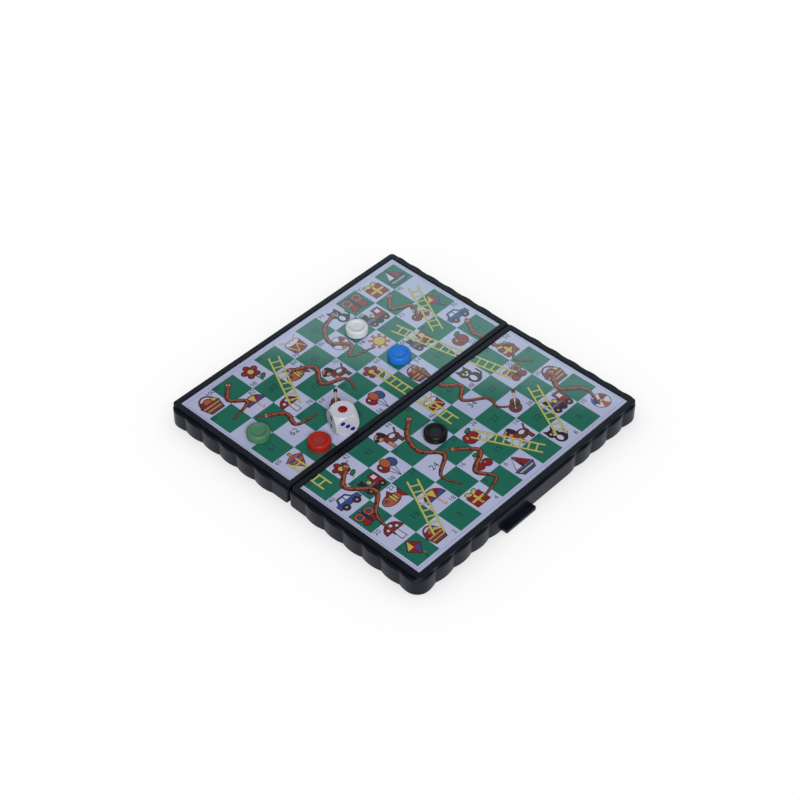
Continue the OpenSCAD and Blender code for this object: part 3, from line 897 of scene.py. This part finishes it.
def pip_paint(bm, face, x, y, r):
    """Thin skin of paint on the floor of one pip."""
    ball = (r * r + PIP_DEEP * PIP_DEEP) / (2 * PIP_DEEP)
    low, high = [], []
    for lift, store in ((PAINT_LOW, low), (PAINT_HIGH, high)):
        for k in range(RINGS + 1):
            a = r * PAINT_R * k / RINGS
            z = DIE / 2 + ball - PIP_DEEP - math.sqrt(ball * ball - a * a) + (lift if k < RINGS else 0.0)
            angles = [2 * math.pi * i / TURNS for i in range(1 if k == 0 else TURNS)]
            store.append([bm.verts.new(face @ (Vector((x + a * math.cos(t), y + a * math.sin(t), z)) * MM))
                          for t in angles])
    for vert in low[RINGS]:
        bm.verts.remove(vert)
    low[RINGS] = high[RINGS]
    for store in (low, high):
        for k in range(RINGS):
            for i in range(TURNS):
                j = (i + 1) % TURNS
                if k == 0:
                    bm.faces.new((store[0][0], store[1][i], store[1][j]))
                else:
                    bm.faces.new((store[k][i], store[k + 1][i], store[k + 1][j], store[k][j]))


def pip_paints(name, faces, rgb):
    """Paint of one colour in the pips of some faces, each given by its turn and its count."""
    bm = bmesh.new()
    stand = Matrix.Translation(DIE_MID) @ Matrix.Rotation(math.radians(DIE_TURN), 4, "Z")
    for turn, n in faces:
        face = stand @ turn
        if n % 2:
            pip_paint(bm, face, 0, 0, ONE_R if n == 1 else PIP_R)
        for s in (-PIP_OUT, PIP_OUT):
            if n in (2, 6):
                pip_paint(bm, face, s, 0, PIP_R)
            if n > 2:
                pip_paint(bm, face, s, -s, PIP_R)
            if n > 3:
                pip_paint(bm, face, s, s, PIP_R)
    bmesh.ops.recalc_face_normals(bm, faces=bm.faces)
    mesh = bpy.data.meshes.new(name)
    bm.to_mesh(mesh)
    bm.free()
    for p in mesh.polygons:
        p.use_smooth = True
    m = Nodes(name)
    brush = m.noise(BRUSH, 3)
    m.set(base_color=m.mix(m.span(brush, 0.35, 0.7), linear(rgb), darker(linear(rgb), 0.7)),
          roughness=m.vary(brush, 0.3, 0.45), specular_ior_level=0.08, normal=m.bump(brush, 0.01, 0.5))
    mesh.materials.append(m.mat)
    piece = bpy.data.objects.new(name, mesh)
    bpy.context.scene.collection.objects.link(piece)
    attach(piece, "die")


def quarter(axis, angle):
    return Matrix.Rotation(math.radians(angle), 4, axis)


pip_paints("die_red_pips", [(Matrix.Identity(4), 1), (quarter("X", -90), 4)], RED_PAINT)
pip_paints("die_blue_pips", [(quarter("X", 90), 3), (quarter("Y", -90), 2), (quarter("Y", 90), 5),
                             (quarter("X", 180), 6)], BLUE_PAINT)


# Floor, light and camera, in metres

def floor(half_size=3.0, painted_shadow_reach=0.04, reflected=0.9):
    """Pale floor with a painted soft shadow of the board. The half that folds under it is seen through it.
    """
    mesh = bpy.data.meshes.new("floor")
    s = half_size
    mesh.from_pydata([(-s, -s, 0), (s, -s, 0), (s, s, 0), (-s, s, 0)], [], [(0, 1, 2, 3)])
    mesh.update()
    ob = bpy.data.objects.new("floor", mesh)
    bpy.context.scene.collection.objects.link(ob)
    m = Nodes("floor")
    m.set(base_color=(0.86, 0.86, 0.87, 1), roughness=0.9, specular_ior_level=0.2)
    path = m.add("LightPath").outputs
    glow = m.add("Emission")
    glow.inputs["Color"].default_value = (0.88, 0.92, 1.0, 1)
    # the camera sees through the floor, tinted darker near the board by ambient occlusion: a painted
    # shadow
    shade = m.add("BsdfTransparent")
    m.put(shade.inputs["Color"], m.span(m.occlusion(painted_shadow_reach), 0.4, 1.0, 0.72, 1.0))
    clear = m.add("BsdfTransparent")
    surface = m.blend_shaders(path["Is Shadow Ray"], m.shader.outputs[0], clear.outputs[0])
    shine = m.math("MULTIPLY", path["Is Glossy Ray"], reflected)
    surface = m.blend_shaders(shine, surface, glow.outputs[0])
    m.put(m.out.inputs[0], m.blend_shaders(path["Is Camera Ray"], surface, shade.outputs[0]))
    mesh.materials.append(m.mat)


def aim(ob, target):
    """Turn a lamp or camera to look at a point."""
    ob.rotation_euler = (Vector(target) - ob.location).to_track_quat("-Z", "Y").to_euler()


def lamp(name, at, size, energy, rgb=(1, 1, 1), target=(0, 0, 0.005)):
    data = bpy.data.lights.new(name, "AREA")
    data.shape = "RECTANGLE"
    data.size, data.size_y = size
    data.energy = energy
    data.color = rgb
    ob = bpy.data.objects.new(name, data)
    ob.location = at
    aim(ob, target)
    bpy.context.scene.collection.objects.link(ob)


def studio(strength=0.2):
    """Even pale light; the camera sees it as white."""
    world = bpy.data.worlds.new("studio")
    bpy.context.scene.world = world
    world.use_nodes = True
    tree = world.node_tree
    soft = tree.nodes["Background"]
    soft.inputs["Color"].default_value = (0.95, 0.97, 1.0, 1)
    soft.inputs["Strength"].default_value = strength
    white = tree.nodes.new("ShaderNodeBackground")
    white.inputs["Color"].default_value = (1, 1, 1, 1)
    mixer = tree.nodes.new("ShaderNodeMixShader")
    tree.links.new(tree.nodes.new("ShaderNodeLightPath").outputs["Is Camera Ray"], mixer.inputs[0])
    tree.links.new(soft.outputs[0], mixer.inputs[1])
    tree.links.new(white.outputs[0], mixer.inputs[2])
    tree.links.new(mixer.outputs[0], tree.nodes["World Output"].inputs["Surface"])


def camera(target, azimuth, elevation, distance, lens):
    """Camera at a distance from its target, azimuth from the front and elevation in degrees."""
    data = bpy.data.cameras.new("camera")
    data.sensor_fit = "HORIZONTAL"
    data.sensor_width = 36.0
    data.lens = lens
    data.clip_start, data.clip_end = 0.01, 20.0
    az, el = math.radians(azimuth), math.radians(elevation)
    ob = bpy.data.objects.new("camera", data)
    ob.location = Vector(target) + distance * Vector((math.sin(az) * math.cos(el),
                                                      -math.cos(az) * math.cos(el), math.sin(el)))
    aim(ob, target)
    bpy.context.scene.collection.objects.link(ob)
    bpy.context.scene.camera = ob


floor()
lamp("key", at=(-1.09, -1.26, 1.44), size=(1.1, 0.9), energy=43.0)
lamp("sheen", at=(0.985, 0.84, 0.88), size=(0.9, 0.5), energy=3.1, rgb=(0.68, 0.95, 1.0),
     target=(-0.04, 0.22, 0))
studio()
camera(target=(-0.000109, 0.00239, 0.0085), azimuth=-46.897, elevation=44.228, distance=0.750, lens=83.636)
bpy.context.scene.view_settings.view_transform = "Standard"
